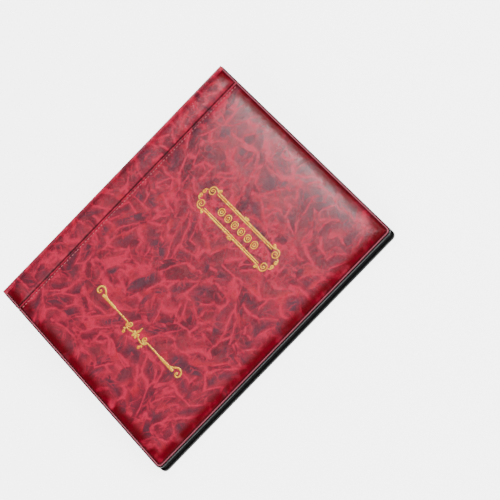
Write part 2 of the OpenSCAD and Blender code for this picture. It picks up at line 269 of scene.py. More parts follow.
class Pad:
    """The outer face of a padded cover. From a welded rim at height rim_h it steps up by lift and
    rises by crown over a distance of about run. Hinged sides, low and high along the cover, have no
    weld and rise within near_run."""

    def __init__(self, box, rim_h, lift, crown, run, near_run, seed, hinged):
        self.box, self.rim_h, self.lift, self.crown = box, rim_h, lift, crown
        self.run, self.near_run, self.seed, self.hinged = run, near_run, seed, hinged
        self.rim = 1.3 * MM  # width of the flat rim outside the weld

    def height(self, a, b, d):
        a0, a1, b0, b1 = self.box
        roll, shoulder, cut = 1.0, 1.0, 1.0
        for near, hinged in zip((a - a0, a1 - a, b - b0, b1 - b), self.hinged + (False, False)):
            rim, run = (0, self.near_run) if hinged else (self.rim, self.run)
            roll = roll * (1 - np.exp(-np.clip(near - rim, 0, None) / run))
            shoulder = shoulder * smooth((near - rim) / (2.2 * MM))
            cut = cut if hinged else np.minimum(cut, near)
        # the outermost edge turns down, and the weld is a sunk line
        lip = -0.22 * MM * (1 - smooth(d / (0.45 * MM)))
        weld = -0.16 * MM * np.exp(-(((cut - self.rim) / (0.3 * MM)) ** 2))
        # puckers run in from the rim and fade, and the foam has slow lumps
        along = np.where(np.minimum(a - a0, a1 - a) < np.minimum(b - b0, b1 - b), b, a)
        pucker = np.sin(along / (4.6 * MM) + 3 * swell(a, b, 31 * MM, self.seed + 7))
        fade = shoulder * np.exp(-np.clip(d - 2.5 * MM, 0, None) / (6 * MM))
        lumps = 0.16 * swell(a, b, 46 * MM, self.seed) + 0.05 * swell(a, b, 17 * MM, self.seed + 3)
        return (
            self.rim_h + lip + weld + self.lift * shoulder + self.crown * roll * (1 + lumps)
            + 0.05 * MM * pucker * fade
        )

    def at(self, a, b):
        """The face's height at any points."""
        return self.height(a, b, edge_distance(a, b, self.box))


# ---- materials ----


def srgb(r, g, b):
    """An opaque scene-linear colour from its 8-bit sRGB values."""
    linear = [c / 255 / 12.92 if c < 11 else ((c / 255 + 0.055) / 1.055) ** 2.4 for c in (r, g, b)]
    return (*linear, 1)


class Shader:
    """Builds one node material. Inputs are values or sockets."""

    def __init__(self, name):
        self.material = bpy.data.materials.new(name)
        self.material.use_nodes = True
        self.tree = self.material.node_tree
        self.bsdf = self.tree.nodes["Principled BSDF"]

    def node(self, kind, out=0, props=(), **inputs):
        """Adds a node and gives its output. Inputs go by name, with _ for a space, or as i0, i1..."""
        n = self.tree.nodes.new(kind)
        for key, value in dict(props).items():
            setattr(n, key, value)
        for key, value in inputs.items():
            self.give(n.inputs[int(key[1:]) if key[1:].isdigit() else key.replace("_", " ")], value)
        return n.outputs[out]

    def give(self, socket, value):
        if isinstance(value, bpy.types.NodeSocket):
            self.tree.links.new(value, socket)
        else:
            socket.default_value = value

    def set(self, **inputs):
        for key, value in inputs.items():
            self.give(self.bsdf.inputs[key.replace("_", " ")], value)
        return self

    def math(self, op, a, b=0.0, c=0.0, clamp=False):
        props = {"operation": op, "use_clamp": clamp}
        return self.node("ShaderNodeMath", props=props, i0=a, i1=b, i2=c)

    def mix(self, factor, a, b, blend="MIX"):
        n = self.tree.nodes.new("ShaderNodeMix")
        n.data_type, n.blend_type, n.clamp_factor = "RGBA", blend, True
        self.give(n.inputs[0], factor)
        self.give(n.inputs[6], a)
        self.give(n.inputs[7], b)
        return n.outputs[2]

    def span(self, value, lo, hi, to_lo=0.0, to_hi=1.0):
        """Value between lo and hi becomes to_lo to to_hi with a soft start and end."""
        props = {"interpolation_type": "SMOOTHSTEP"}
        return self.node(
            "ShaderNodeMapRange", props=props, Value=value, From_Min=lo, From_Max=hi,
            To_Min=to_lo, To_Max=to_hi,
        )

    def noise(self, vector, scale, detail=3.0, rough=0.5, out=0):
        return self.node(
            "ShaderNodeTexNoise", out=out, Vector=vector, Scale=scale, Detail=detail, Roughness=rough
        )

    def voronoi(self, vector, scale, feature="F1", out=0):
        props = {"feature": feature}
        return self.node("ShaderNodeTexVoronoi", out=out, props=props, Vector=vector, Scale=scale)

    def vector_math(self, op, a, b, out=0):
        return self.node("ShaderNodeVectorMath", out=out, props={"operation": op}, i0=a, i1=b)

    def scaled(self, vector, by, turn=0.0):
        """A map turned about Z and then scaled."""
        props = {"vector_type": "TEXTURE"}
        shrink = tuple(1 / k for k in by)
        return self.node("ShaderNodeMapping", props=props, i0=vector, i2=(0, 0, turn), i3=shrink)

    def place(self):
        """The point itself, in metres."""
        return self.node("ShaderNodeTexCoord", out=3)

    def cover(self):
        """The flat cover map, in metres."""
        return self.node("ShaderNodeUVMap", props={"uv_map": "cover"})

    def attribute(self, name):
        """A number stored with the mesh."""
        return self.node("ShaderNodeAttribute", out=2, props={"attribute_name": name})

    def bump(self, height, strength, distance, under=None):
        given = {"Height": height, "Strength": strength, "Distance": distance}
        if under is not None:
            given["Normal"] = under
        return self.node("ShaderNodeBump", **given)


def red_marble():
    """Marbled vinyl: crumpled leaves lying in several directions, bright thin veins, smoky patches, with
    painted shade and a painted highlight along the welded edges.
    """
    s = Shader("red_marbled_vinyl")
    flat = s.cover()

    def drift(scale, detail, reach):
        """A slow random shift of up to half of reach metres each way."""
        lean = s.vector_math("SUBTRACT", s.noise(flat, scale, detail, out=1), (0.5, 0.5, 0.5))
        return s.node("ShaderNodeVectorMath", props={"operation": "SCALE"}, i0=lean, Scale=reach)

    warped = s.vector_math("ADD", s.vector_math("ADD", flat, drift(26, 1.0, 0.018)), drift(120, 2.0, 0.003))

    def leaves(turn, scale):
        """(shade across each leaf, distance to its edge, its own value, fine streaks along it)."""
        at = s.scaled(warped, (1, 0.34, 1), turn)
        own = s.voronoi(at, scale, out=1)
        lean = s.vector_math("SUBTRACT", own, (0.5, 0.5, 0.5))
        offset = s.vector_math("SUBTRACT", at, s.voronoi(at, scale, out=2))
        across = s.vector_math("DOT_PRODUCT", offset, s.vector_math("NORMALIZE", lean, (0, 0, 0)), out=1)
        shade = s.span(s.math("MULTIPLY", across, scale), -0.6, 0.6)
        streaks = s.noise(s.scaled(warped, (1, 0.2, 1), turn), scale * 3, 3.0, 0.6)
        return shade, s.voronoi(at, scale, "DISTANCE_TO_EDGE"), own, streaks

    def blended(layers, pick):
        """The layers side by side, each where pick is in its own band."""
        first = s.span(pick, 0.43, 0.46)
        second = s.span(pick, 0.53, 0.56)
        return [s.mix(second, s.mix(first, x, y), z) for x, y, z in zip(*layers)]

    large = [leaves(0.4, 76), leaves(1.5, 68), leaves(2.5, 82)]
    small = [leaves(2.1, 170), leaves(0.9, 160), leaves(2.9, 180)]
    shade, rim, own, streaks = blended(large, s.noise(flat, 26, 1.0))
    fine, fine_rim, _, _ = blended(small, s.noise(flat, 44, 1.0))
    cloudy = s.noise(warped, 40, 2.0)

    dull = s.math("MULTIPLY", s.span(own, 0.12, 0.5), s.span(cloudy, 0.32, 0.47))
    inside = s.mix(s.math("MULTIPLY", dull, 0.9), srgb(134, 44, 56), srgb(84, 46, 60))
    colour = s.mix(s.span(rim, 0.0, 0.36), srgb(158, 34, 56), inside)
    colour = s.mix(s.span(s.noise(flat, 24, 2.0), 0.5, 0.34, 0.0, 0.45), colour, srgb(84, 26, 42))
    colour = s.mix(s.span(shade, 0.5, 0.0, 0.0, 0.55), colour, srgb(86, 24, 38))
    colour = s.mix(s.span(fine, 0.5, 0.1, 0.0, 0.4), colour, srgb(94, 30, 44))
    glow = s.math("MULTIPLY", s.span(shade, 0.65, 1.0), s.span(s.noise(warped, 70, 2.0), 0.46, 0.66))
    colour = s.mix(s.math("MULTIPLY", glow, 0.7), colour, srgb(188, 26, 50))
    colour = s.mix(s.span(streaks, 0.54, 0.74, 0.0, 0.45), colour, srgb(180, 38, 70))
    colour = s.mix(s.span(streaks, 0.47, 0.3, 0.0, 0.5), colour, srgb(78, 24, 40))

    fickle = s.noise(flat, 90, 2.0)  # picks where the large and where the fine veins show
    vein = s.math("MULTIPLY", s.span(rim, 0.1, 0.0), s.span(fickle, 0.34, 0.52))
    colour = s.mix(s.math("MULTIPLY", vein, 0.85), colour, srgb(200, 32, 70))
    vein = s.math("MULTIPLY", s.span(fine_rim, 0.09, 0.0), s.span(fickle, 0.6, 0.44))
    colour = s.mix(s.math("MULTIPLY", vein, 0.6), colour, srgb(190, 34, 64))

    edge, cut = s.attribute("edge"), s.attribute("cut")
    ragged = s.math("ADD", cut, s.math("MULTIPLY", s.noise(flat, 400, 2.0), 0.0006))
    # painted shade: a dark red band about 6 to 14 mm in from the welded edges, where the pad rolls away
    # from the light
    painted_roll_shade = s.math("MULTIPLY", s.span(ragged, 0.0145, 0.006), s.span(s.noise(warped, 60, 3.0), 0.25, 0.52))
    colour = s.mix(s.math("MULTIPLY", painted_roll_shade, 0.9), colour, srgb(86, 2, 9))
    # painted shade on the steep side of the pad's shoulder, just inside the weld
    colour = s.mix(s.span(cut, 0.0036, 0.0015, 0.0, 0.8), colour, srgb(40, 5, 11))
    # painted shade: darker within about a millimetre of an edge, in the seam groove and where the spine
    # band turns down over the spine
    colour = s.mix(s.span(edge, 0.0012, 0.0004, 0.0, 0.85), colour, srgb(30, 5, 9))
    # painted highlight: a pale pink line along the flat welded rim, where it catches the light
    colour = s.mix(s.span(cut, 0.0015, 0.0011, 0.0, 0.9), colour, srgb(166, 88, 102))
    # painted shade on the lip, where the outermost edge of the red turns down
    colour = s.mix(s.span(cut, 0.0005, 0.0002, 0.0, 0.9), colour, srgb(50, 12, 18))

    grain = s.voronoi(flat, 900, "DISTANCE_TO_EDGE")
    pores = s.noise(flat, 2600, 2.0)
    grained = s.bump(pores, 0.05, 0.0003, s.bump(s.span(grain, 0.0, 0.25), 0.05, 0.0002))
    creased = s.bump(s.mix(0.4, shade, fine), 0.16, 0.0003, grained)
    rough = s.span(s.noise(flat, 260, 3.0), 0.3, 0.7, 0.24, 0.32)
    s.set(Base_Color=colour, Roughness=rough, Normal=creased)
    s.set(Specular_IOR_Level=s.span(cut, 0.005, 0.012, 0.08, 0.5))
    return s.material


def black_grain():
    """Black leather-cloth with a fine cell grain and a little rubbed shine."""
    s = Shader("black_vinyl")
    at = s.cover()
    cells = s.voronoi(at, 620, "DISTANCE_TO_EDGE")
    pits = s.noise(at, 1900, 3.0)
    rub = s.noise(at, 38, 4.0)
    colour = s.mix(s.span(cells, 0.0, 0.14), srgb(3, 3, 3), srgb(12, 12, 13))
    colour = s.mix(s.span(rub, 0.5, 0.75, 0.0, 0.35), colour, srgb(22, 21, 22))
    normal = s.bump(pits, 0.18, 0.0003, s.bump(s.span(cells, 0.0, 0.16), 0.45, 0.0004))
    s.set(Base_Color=colour, Roughness=s.span(rub, 0.3, 0.7, 0.42, 0.56), Normal=normal)
    s.set(Specular_IOR_Level=0.12)
    return s.material


def fibre_paper(name, dark, light, scale):
    """Pressed paper or card: fibres in two directions and faint cloudiness."""
    s = Shader(name)
    at = s.place()
    warp = s.noise(s.scaled(at, (1, 7, 1)), scale, 4.0, 0.7)
    weft = s.noise(s.scaled(at, (7, 1, 1)), scale, 4.0, 0.7)
    fibres = s.math("MAXIMUM", warp, weft)
    cloud_tone = s.noise(at, scale / 18, 3.0)
    colour = s.mix(s.span(fibres, 0.4, 0.75), dark, light)
    colour = s.mix(s.span(cloud_tone, 0.35, 0.7, 0.0, 0.25), colour, dark)
    normal = s.bump(fibres, 0.3, 0.0003)
    s.set(Base_Color=colour, Roughness=s.span(fibres, 0.3, 0.8, 0.92, 0.72), Normal=normal)
    return s.material


def metal(name, tint, dull, along, scratches):
    """Plated or brushed steel with drawn lines, soft stains and small scuffs."""
    s = Shader(name)
    at = s.place()
    drawn = s.noise(s.scaled(at, along), 900, 3.0, 0.6)
    stain = s.noise(at, 60, 4.0, 0.6)
    scuff = s.voronoi(s.scaled(at, (1, 1, 3), 0.6), 260, "DISTANCE_TO_EDGE")
    stained, scratched = [(*(k * c for c in tint[:3]), 1) for k in (0.72, 0.6)]
    colour = s.mix(s.span(stain, 0.45, 0.7, 0.0, 0.3), tint, stained)
    colour = s.mix(s.span(drawn, 0.55, 0.8, 0.0, scratches), colour, scratched)
    rough = s.math("ADD", s.span(drawn, 0.3, 0.7, dull, dull + 0.14), s.span(scuff, 0.02, 0.0, 0.0, 0.1))
    s.set(Base_Color=colour, Metallic=1.0, Roughness=rough, Normal=s.bump(drawn, 0.12, 0.0002))
    return s.material


def gold_foil():
    """Hot-stamped foil: bright and mottled where it took unevenly, with a painted dark red shadow round the
    foot of each stroke.
    """
    s = Shader("gold_foil")
    flat = s.cover()
    crest = s.attribute("edge")
    mottle = s.noise(flat, 330, 4.0, 0.6)
    worn = s.noise(flat, 1500, 3.0, 0.6)
    colour = s.mix(s.span(mottle, 0.35, 0.65), srgb(255, 150, 18), srgb(255, 212, 66))
    colour = s.mix(s.span(worn, 0.62, 0.8, 0.0, 0.5), colour, srgb(170, 84, 22))
    # painted shadow: the low skirt round each stroke turns dark red and less metallic
    painted_outline_shadow = s.span(crest, 0.75, 0.25)
    colour = s.mix(painted_outline_shadow, colour, srgb(70, 14, 18))
    s.set(Base_Color=colour, Metallic=s.math("MULTIPLY", 0.35, s.math("SUBTRACT", 1.0, painted_outline_shadow)))
    s.set(Roughness=s.span(mottle, 0.3, 0.7, 0.26, 0.42), Normal=s.bump(worn, 0.15, 0.0002))
    return s.material


def sewing_thread():
    """Twisted pale red sewing thread."""
    s = Shader("seam_thread")
    flat = s.cover()
    twist = s.node(
        "ShaderNodeTexWave", props={"bands_direction": "DIAGONAL"}, Vector=flat, Scale=900, Distortion=1.0
    )
    colour = s.mix(twist, srgb(158, 62, 72), srgb(222, 128, 134))
    s.set(Base_Color=colour, Roughness=s.span(twist, 0, 1, 0.75, 0.5), Normal=s.bump(twist, 0.4, 0.0002))
    s.set(Sheen_Weight=0.3)
    return s.material


def page_card():
    """Matt black page sheet with a fine calendered texture and dust-pale scuffs."""
    s = Shader("page_black")
    at = s.place()
    fine = s.noise(at, 1400, 3.0)
    dust = s.noise(at, 90, 5.0, 0.7)
    colour = s.mix(s.span(fine, 0.3, 0.7), srgb(16, 16, 18), srgb(30, 30, 33))
    colour = s.mix(s.span(dust, 0.6, 0.85, 0.0, 0.3), colour, srgb(60, 60, 64))
    s.set(Base_Color=colour, Roughness=s.span(dust, 0.3, 0.7, 0.5, 0.66), Normal=s.bump(fine, 0.15, 0.0002))
    return s.material


def clear_film():
    """Thin clear pocket film: mostly see-through, glossy, milky along welds and scuffs."""
    s = Shader("clear_film")
    flat = s.cover()
    edge = s.attribute("edge")
    haze = s.noise(flat, 150, 4.0, 0.6)
    weld = s.span(edge, 0.0014, 0.0004)
    milky = s.math("ADD", s.span(haze, 0.5, 0.8, 0.0, 0.12), s.math("MULTIPLY", weld, 0.35), clamp=True)
    colour = s.mix(weld, srgb(225, 232, 236), srgb(196, 204, 210))
    ribs = s.voronoi(flat, 1300, "DISTANCE_TO_EDGE")
    alpha = s.math("ADD", 0.16, milky)
    s.set(Base_Color=colour, Roughness=s.span(haze, 0.3, 0.7, 0.06, 0.16), Alpha=alpha)
    s.set(Normal=s.bump(ribs, 0.06, 0.0002, s.bump(haze, 0.2, 0.0006)))
    return s.material


def foam_open():
    """Open-cell foam under the covers."""
    s = Shader("foam")
    cells = s.voronoi(s.place(), 700, "DISTANCE_TO_EDGE")
    colour = s.mix(s.span(cells, 0.0, 0.2), srgb(238, 232, 214), srgb(176, 168, 148))
    s.set(Base_Color=colour, Roughness=0.95, Normal=s.bump(cells, 0.6, 0.0006))
    return s.material


def pale_floor():
    """A plain floor with some light of its own, so that it stays pale in soft light."""
    s = Shader("pale_floor")
    tone = s.noise(s.place(), 3, 3.0)
    s.set(Base_Color=s.mix(tone, srgb(240, 240, 240), srgb(246, 246, 246)), Roughness=0.8)
    s.set(Emission_Color=(1, 1, 1, 1), Emission_Strength=4.2)
    return s.material


RED = red_marble()
BLACK = black_grain()
LINING = fibre_paper("lining_paper", srgb(16, 16, 18), srgb(44, 43, 46), 420)
BOARD = fibre_paper("grey_board", srgb(112, 104, 94), srgb(168, 160, 148), 300)
STEEL = metal("brushed_steel", srgb(188, 190, 194), 0.26, (30, 1, 30), 0.5)
NICKEL = metal("nickel_plate", srgb(214, 213, 208), 0.10, (1, 12, 1), 0.25)
GOLD = gold_foil()
THREAD = sewing_thread()
SHEET = page_card()
FILM = clear_film()
FOAM = foam_open()


# ---- front panel and strip: padded faces over a black edge binding ----

CORNER_R = 5 * MM  # outer corners of both covers
MIN_R = 0.4 * MM  # corners that are square on the real cover
RED_INSET = 0.8 * MM  # how far the black binding shows outside the red face
TURN_IN = 2.3 * MM  # how far the skins reach under the linings
FAR = 1.0  # a distance from the weld that counts as none near
PAD_STEP, BINDING_STEP, SKIN_STEP = 2.8 * MM, 4 * MM, 5 * MM  # grid steps


def padded_cover(name, nodes, lining, body, radii, shape, hinged):
    """A crowned pad with a welded rim, and the black band that wraps the board's edge below it."""
    box, _ = front.span(nodes[0])
    red_box = inset_box(box, RED_INSET)
    red_box = (box[0], box[1] - (0 if hinged[1] else RED_INSET)) + red_box[2:]
    face = Pad(red_box, hinged=hinged, **shape)
    board_top = front.span(lining.replace("lining", "board"))[1][1]
    under = face.rim_h - 0.45 * MM
    loops = [(0.02 * MM, under), (0.3 * MM, under - 0.03 * MM), (0.45 * MM, board_top + 0.02 * MM)]
    high_open = FAR if hinged[1] else 0.0
    cut_box = (red_box[0] - FAR, red_box[1] + high_open, red_box[2], red_box[3])
    pad = slab(
        name + "_pad", front, red_box, [max(r - RED_INSET, MIN_R) for r in radii], PAD_STEP,
        face.height, loops, RED, cut_box, high_open,
    )
    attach(pad, body)
    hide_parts(*nodes)
    inner, outer = front.span(lining)[1]
    band = [
        (1.1 * MM, under - 0.04 * MM), (0.1 * MM, under), (0.0, under - 0.1 * MM),
        (0.0, under - 0.3 * MM), (0.0, outer - 0.05 * MM), (0.18 * MM, inner + 0.24 * MM),
        (0.55 * MM, inner + 0.13 * MM),
        (TURN_IN, inner + 0.15 * MM), (TURN_IN, outer - 0.02 * MM), (0.59 * MM, outer - 0.02 * MM),
        (0.59 * MM, board_top + 0.04 * MM), (1.1 * MM, board_top + 0.06 * MM),
    ]
    edge = binding(name + "_edge", front, box, radii, BINDING_STEP, band, BLACK)
    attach(edge, body)
    return face


panel_box, _ = front.span("front_skin")
panel_face = padded_cover(
    "panel", ("front_skin", "front_foam"), "front_lining", "front_panel", (MIN_R, CORNER_R),
    dict(rim_h=-1.0 * MM, lift=0.75 * MM, crown=2.0 * MM, run=11 * MM, near_run=3.6 * MM, seed=1.0),
    (True, False),
)
padded_cover(
    "strip", ("strip_skin", "strip_foam"), "strip_lining", "strip", (MIN_R, MIN_R),
    dict(rim_h=-1.0 * MM, lift=0.6 * MM, crown=1.5 * MM, run=4.2 * MM, near_run=2.0 * MM, seed=5.0),
    (True, True),
)
strip_box, _ = front.span("strip_skin")


# ---- bands across the hinges ----


def web(name, path, end, thick, material, shade, sag=0.0, lift_uv=0.0):
    """A closed flexible band swept along Y, to a distance end from the cover's head and tail. path is
    its outer line as (x, z) points, inside on the right, and shade is how far it counts as being
    from the edge."""
    path = np.array(path, float)
    tangent = np.gradient(path, axis=0)
    tangent /= np.linalg.norm(tangent, axis=1)[:, None]
    inward = np.column_stack([tangent[:, 1], -tangent[:, 0]])
    length = np.concatenate([[0], np.cumsum(np.linalg.norm(np.diff(path, axis=0), axis=1))])
    ys = np.linspace(-half_y + end, half_y - end, 55)
    outline = np.vstack([path, (path + inward * thick)[::-1]])
    along = np.concatenate([length, length[::-1]])
    middle = np.sin(np.pi * along / length[-1])
    verts, uvs = [], []
    inward_all = np.vstack([inward, inward[::-1]])
    for y in ys:
        wave = sag * (0.5 + 0.5 * noise.noise(Vector((y / (12 * MM), 0.3, 2.0))))
        p = outline + inward_all * (middle * wave)[:, None]
        verts += [(x, y, z) for x, z in p]
        uvs += [(lift_uv + s, y) for s in along]
    faces = tube(len(ys), len(outline))
    shade = np.broadcast_to(shade, len(path))
    edge = np.tile(np.concatenate([shade, shade[::-1]]), len(ys))
    return piece(name, verts, faces, material, uvs, edge, np.ones(len(verts)), sharp=50)


def curve(points, count):
    """A smooth line through a few points."""
    points = np.array(points, float)
    knots = np.linspace(0, 1, len(points))
    out = []
    for t in np.linspace(0, 1, count):
        k = min(int(t * (len(points) - 1)), len(points) - 2)
        f = (t - knots[k]) * (len(points) - 1)
        p0, p1, p2, p3 = [points[min(max(k + j, 0), len(points) - 1)] for j in (-1, 0, 1, 2)]
        out.append(
            0.5 * (2 * p1 + (p2 - p0) * f + (2 * p0 - 5 * p1 + 4 * p2 - p3) * f**2
                   + (3 * p1 - p0 - 3 * p2 + p3) * f**3)
        )
    return np.array(out)


def front_xz(a, h):
    """A point of the front cover's plane as (x, z)."""
    p = front.place(a, 0, h)[0]
    return (p[0], p[2])


BAND_END, BAND_THICK = 0.5 * MM, 0.45 * MM  # of the bands at both long edges of the spine
half_y = panel_box[3]
seam_h = -1.45 * MM  # height of the seam's outer face on the front plane
seam_gap = (strip_box[1], panel_box[0])
seam_path = [
    front_xz(a, h)
    for a, h in (
        (seam_gap[0] - 0.35 * MM, seam_h - 0.15 * MM), (seam_gap[0] + 0.25 * MM, seam_h + 0.05 * MM),
        (sum(seam_gap) / 2, seam_h - 0.1 * MM), (seam_gap[1] - 0.25 * MM, seam_h + 0.05 * MM),
        (seam_gap[1] + 0.35 * MM, seam_h - 0.15 * MM),
    )
]
seam_web = web(
    "seam_web", curve(seam_path, 13), 0.6 * MM, 0.5 * MM, RED, 1.5 * MM,
    lift_uv=seam_gap[0],
)
front.place(seam_gap[0] - 0.3 * MM, 0, seam_h)[0]
front.place(seam_gap[1] + 0.3 * MM, 0, seam_h)[0]
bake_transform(seam_web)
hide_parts("front_seam")

top = JOINT_AT["strip_hinge"]
low = JOINT_AT["spine_hinge"]
reach = top[0] - spine_lo.x
top_path = [
    (spine_lo.x + 0.1 * MM, spine_hi.z - 1.2 * MM), (spine_lo.x + 0.05 * MM, top[2] - 0.6 * MM),
    (top[0] - reach * 0.72, top[2] + reach * 0.55), front_xz(0.1 * MM, 0.72 * MM),
    front_xz(1.2 * MM, 0.5 * MM), front_xz(strip_box[0] - 0.1 * MM, -0.8 * MM),
    front_xz(strip_box[0] + 0.6 * MM, -1.5 * MM),
]
top_path = curve(top_path, 22)
# painted shade: the spine band counts as at the edge where it turns down over the spine, so the red
# material darkens it there
turned = smooth((top_path[:, 0] - spine_lo.x) / (0.9 * reach)) * 2.5 * MM
top_web = web(
    "spine_top_band", top_path, BAND_END, BAND_THICK, RED, turned, sag=0.12 * MM,
    lift_uv=strip_box[0] - 6.5 * MM,
)
front.place(strip_box[0], 0, -1.0 * MM)[0]
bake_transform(top_web)
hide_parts("spine_top_web")

back_lo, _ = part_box("back_skin")
low_path = [
    (back_lo.x + 0.75 * MM, 0.35 * MM), (back_lo.x + 0.1 * MM, 0.15 * MM), (low[0] + 0.8 * MM, 0.18 * MM),
    (low[0] - 0.5 * MM, 0.3 * MM), (spine_lo.x + 0.25 * MM, low[2] + 0.1 * MM),
    (spine_lo.x + 0.05 * MM, spine_lo.z - 0.4 * MM), (spine_lo.x + 0.1 * MM, spine_lo.z + 1.2 * MM),
]
low_web = web(
    "spine_low_band", curve(low_path, 22), BAND_END, BAND_THICK, BLACK, FAR,
    sag=0.1 * MM,
)
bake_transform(low_web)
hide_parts("spine_bottom_web")


# ---- back cover and spine: black grained skins ----


def flat_skin(name, plane, node, body, radii, bulge, lining):
    """A skin that covers a board's outer face, wraps its edges and turns in under the lining."""
    box, (inner, outer) = plane.span(node)
    lining_in, lining_out = plane.span(lining)[1]
    thick = 0.56 * MM

    def face(a, b, d):
        a0, a1, b0, b1 = box
        roll = np.sin(np.pi * np.clip((a - a0) / (a1 - a0), 0, 1)) * smooth((d - 1 * MM) / (8 * MM))
        edge = -0.5 * MM * (1 - np.sqrt(np.clip(1 - (1 - np.clip(d / (0.9 * MM), 0, 1)) ** 2, 0, 1)))
        return outer + bulge * roll + edge

    loops = [
        (0.0, outer - 1.1 * MM), (0.0, lining_out - 0.1 * MM), (0.16 * MM, lining_in + 0.22 * MM),
        (0.55 * MM, lining_in + 0.12 * MM), (TURN_IN, lining_in + 0.14 * MM),
        (TURN_IN, lining_out - 0.02 * MM), (thick, lining_out - 0.02 * MM), (thick, outer - thick),
    ]
    skin = slab(name, plane, box, radii, SKIN_STEP, face, loops, BLACK)
    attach(skin, body)
    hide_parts(node)


flat_skin("back_cover_skin", back, "back_skin", "back_cover", (CORNER_R, MIN_R), 0.0, "back_lining")
flat_skin("spine_cover_skin", spine, "spine_skin", "spine", (MIN_R, MIN_R), 0.5 * MM, "spine_lining")


# ---- stitches along the seam ----


def capsule(centre, along, across, up, length, width, rise):
    """A closed stitch: a short arched lens of thread."""
    verts, uvs = [], []
    rings, sides = 7, 6
    for k in range(rings):
        t = -1 + 2 * k / (rings - 1)
        girth = max(0.12, math.sqrt(max(0.0, 1 - abs(t) ** 2.4)))
        arch = rise * (1 - t * t)
        for j in range(sides):
            q = TAU * j / sides
            off = across * math.cos(q) * width / 2 * girth + up * (math.sin(q) * width / 2 * girth + arch)
            verts.append(centre + along * (t * length / 2) + off)
            uvs.append((t * length / 2, q / TAU * 0.002))
    return verts, tube(rings, sides), uvs, [1.0] * len(verts)


def gather(parts):
    """Several closed shells as one mesh."""
    verts, faces, uvs, crests = [], [], [], []
    for v, f, u, c in parts:
        base = len(verts)
        verts += list(v)
        uvs += list(u)
        crests += list(c)
        faces += [tuple(base + i for i in face) for face in f]
    return verts, faces, uvs, crests


STITCH_PITCH = 3.2 * MM
STITCH_SIZE = (2.3 * MM, 0.75 * MM, 0.1 * MM)  # length, width and rise
STITCH_SUNK = 0.1 * MM
stitch_a = panel_box[0] + 2.5 * MM
stitch_count = int((2 * half_y - 6 * MM) / STITCH_PITCH)
stitches = []
for k in range(stitch_count):
    y = (k - (stitch_count - 1) / 2) * STITCH_PITCH
    skew = 0.10 * noise.noise(Vector((k * 1.7, 0.5, 4.0)))
    level = panel_face.at(np.array([stitch_a]), np.array([y]))[0]
    centre = front.place(stitch_a, y, level - STITCH_SUNK)[0]
    along = Y + front.a * skew
    stitches.append(capsule(centre, along / np.linalg.norm(along), front.a, front.n, *STITCH_SIZE))
verts, faces, uvs, crests = gather(stitches)
seam_stitches = piece("seam_stitches", verts, faces, THREAD, uvs, crests, sharp=80)
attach(seam_stitches, "front_panel")


# ---- stamped gold ornament ----


def on_pad(a, b, h):
    """Points at a height h above the padded face."""
    return front.place(a, b, panel_face.at(a, b) + h)


def line(points, width, ends=0.35):
    """A stamped line as a low closed ridge that follows the pad. width is one value or one per point,
    and an open line's ends narrow to the share ends."""
    points = np.array(points, float)
    n = len(points)
    width = np.full(n, width) if np.isscalar(width) else np.array(width, float)
    closed = np.linalg.norm(points[0] - points[-1]) < 1e-9
    if closed:
        tangent = np.roll(points[:-1], -1, axis=0) - np.roll(points[:-1], 1, axis=0)
        tangent = np.vstack([tangent, tangent[:1]])
    else:
        tangent = np.gradient(points, axis=0)
        width[0], width[-1] = width[0] * ends, width[-1] * ends
    tangent /= np.linalg.norm(tangent, axis=1)[:, None]
    side = np.column_stack([-tangent[:, 1], tangent[:, 0]])
    half = [(0.0, 0.0, 0.14, 1.0), (0.42, 0.0, 0.10, 1.0), (0.5, 0.0, 0.05, 0.6), (0.5, 0.28, -0.04, 0.0)]
    under = [(0.3, 0.0, -0.25, 0.0), (-0.3, 0.0, -0.25, 0.0)]
    profile = half + under + [(-x, -out, h, c) for x, out, h, c in half[:0:-1]]
    verts, uvs, crests = [], [], []
    m = len(profile)
    for p, q, w in zip(points, side, width):
        ab = np.array([p + q * (off * w + out * MM) for off, out, _, _ in profile])
        verts += list(on_pad(ab[:, 0], ab[:, 1], np.array([h * MM for _, _, h, _ in profile])))
        uvs += [tuple(x) for x in ab]
        crests += [c for _, _, _, c in profile]
    faces = tube(n, m)
    if closed:
        verts, uvs, crests = verts[:-m], uvs[:-m], crests[:-m]
        faces = [tuple(i % len(verts) for i in f) for f in faces[:-2]]
    return verts, faces, uvs, crests


def bead(a, b, r, stretch=1.0, turn=0.0):
    """A stamped dot or petal: a low closed dome."""
    verts, uvs, crests = [], [], []
    sides = 14
    skirt = 1 + 0.28 * MM / r
    levels = (
        (0.02, 0.17, 1.0), (0.6, 0.14, 1.0), (0.93, 0.08, 1.0), (1.0, 0.04, 0.6), (skirt, -0.04, 0.0),
        (0.8, -0.25, 0.0), (0.02, -0.25, 0.0),
    )
    for share, h, crest in levels:
        crests += [crest] * sides
        q = np.arange(sides) * TAU / sides
        x, y = r * share * stretch * np.cos(q), r * share * np.sin(q)
        ca, sa = math.cos(turn), math.sin(turn)
        pa, pb = a + x * ca - y * sa, b + x * sa + y * ca
        verts += list(on_pad(pa, pb, np.full(sides, h * MM)))
        uvs += [tuple(t) for t in zip(pa, pb)]
    return verts, tube(len(levels), sides), uvs, crests


def spiral(centre, r0, r1, start, turns, count=46, pace=0.8):
    """Points of a scroll that winds from radius r0 to r1; a negative number of turns runs clockwise."""
    t = np.linspace(0, 1, count)
    r = r0 + (r1 - r0) * t**pace
    q = math.radians(start) + turns * TAU * t
    return np.column_stack([centre[0] + r * np.cos(q), centre[1] + r * np.sin(q)])


def mirrored(points, sx, sy):
    """Points with x and y multiplied by 1 or -1."""
    return np.array(points) * (sx, sy)


